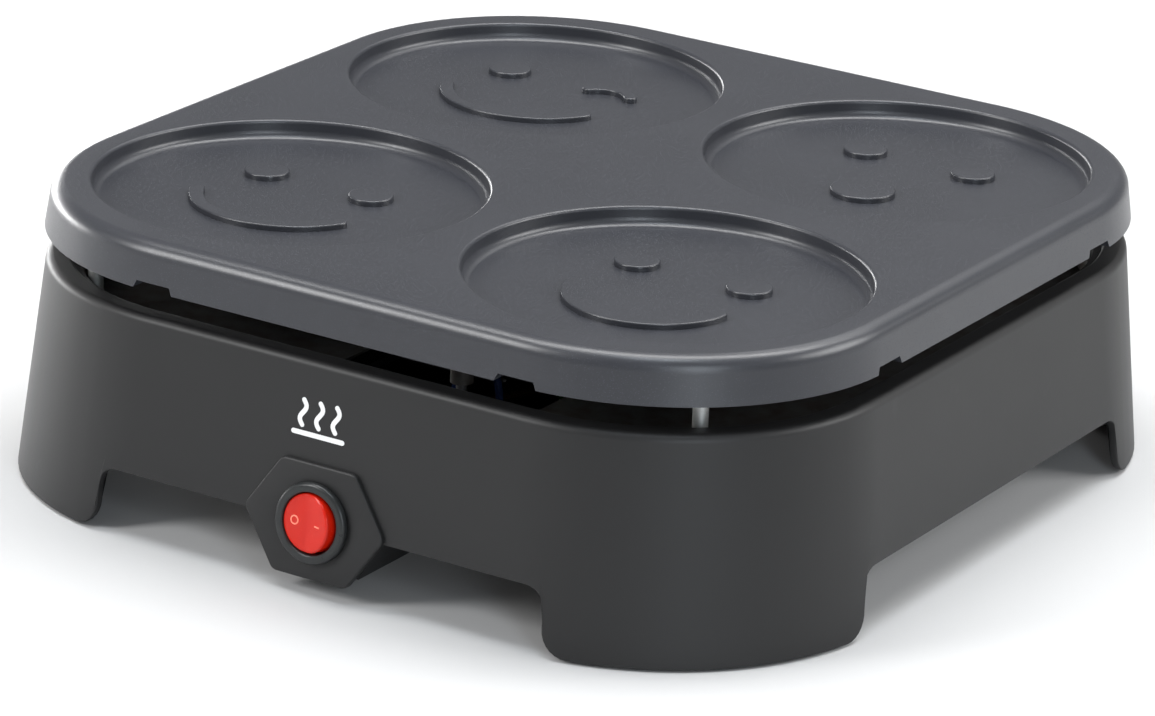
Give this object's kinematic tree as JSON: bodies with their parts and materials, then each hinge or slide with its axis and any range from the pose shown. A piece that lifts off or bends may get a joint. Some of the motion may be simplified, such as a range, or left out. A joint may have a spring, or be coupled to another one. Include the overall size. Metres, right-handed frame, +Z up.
{
  "type": "electric griddle",
  "caption": "Square four-well electric griddle: coated cooking plate on posts over a flared moulded base with arched sides and a round red rocker switch on a hexagonal panel.",
  "frame": {"origin": "on the table, under the middle of the cooking plate", "axes": "+Z up, -Y towards the switch on the front, +X to the right seen from the front"},
  "size_m": [0.272, 0.2909, 0.0857],
  "materials": {
    "housing": "fine matte moulded heat-resistant plastic, near black",
    "plate_coating": "die-cast aluminium with a satin charcoal non-stick coating",
    "element_steel": "heat-darkened steel sheath",
    "steel": "zinc-plated steel",
    "reflector_sheet": "dull aluminised sheet",
    "aluminium": "plain turned aluminium",
    "switch_plastic": "dark grey, slightly glossy",
    "rocker_red": "translucent glossy red",
    "brass": "bright stamped blades",
    "rubber": "soft black rubber",
    "gland_rubber": "firm black rubber",
    "ceramic": "opaque glazed ceramic",
    "lamp_glass": "clear glass over a small neon lamp",
    "fuse_sleeve": "plated fuse case",
    "wire_brown": "brown silicone insulation",
    "wire_blue": "blue silicone insulation",
    "wire_green": "green and yellow silicone insulation",
    "wire_white": "white braided glass sleeve"
  },
  "bodies": {
    "griddle": {"base_housing": "housing", "bottom_cover": "housing", "clamp_screw_1": "steel", "clamp_screw_2": "steel", "clamp_screw_3": "steel", "cooking_plate": "plate_coating", "cord_gland": "gland_rubber", "cover_screw_1": "steel", "cover_screw_2": "steel", "cover_screw_3": "steel", "cover_screw_4": "steel", "element_clamp_1": "steel", "element_clamp_2": "steel", "element_clamp_3": "steel", "element_terminal_a": "steel", "element_terminal_b": "steel", "foot_pad_1": "rubber", "foot_pad_2": "rubber", "foot_pad_3": "rubber", "foot_pad_4": "rubber", "heat_reflector": "reflector_sheet", "heating_element": "element_steel", "neon_lamp": "lamp_glass", "plate_post_1": "aluminium", "plate_post_2": "aluminium", "plate_post_3": "aluminium", "plate_post_4": "aluminium", "plate_screw_1": "steel", "plate_screw_2": "steel", "plate_screw_3": "steel", "plate_screw_4": "steel", "reflector_spacer_1": "steel", "reflector_spacer_2": "steel", "reflector_spacer_3": "steel", "reflector_spacer_4": "steel", "switch_blade_1": "brass", "switch_blade_2": "brass", "switch_blade_3": "brass", "switch_body": "switch_plastic", "terminal_block": "ceramic", "terminal_block_screw": "steel", "thermal_fuse": "fuse_sleeve", "thermostat": "ceramic", "thermostat_bracket": "steel", "thermostat_screw_1": "steel", "thermostat_screw_2": "steel", "wire_earth": "wire_green", "wire_element": "wire_white", "wire_fuse": "wire_white", "wire_lamp": "wire_blue", "wire_live": "wire_brown", "wire_neutral": "wire_blue", "wire_switched": "wire_brown"},
    "rocker_button": {"rocker": "rocker_red"}
  },
  "joints": [
    {"name": "rocker_hinge", "type": "hinge", "parent": "griddle", "child": "rocker_button", "pos_m": [0, -0.14028, 0.02049], "axis": [0, 0.1126, 0.9936], "range_deg": [0, 20]}
  ]
}
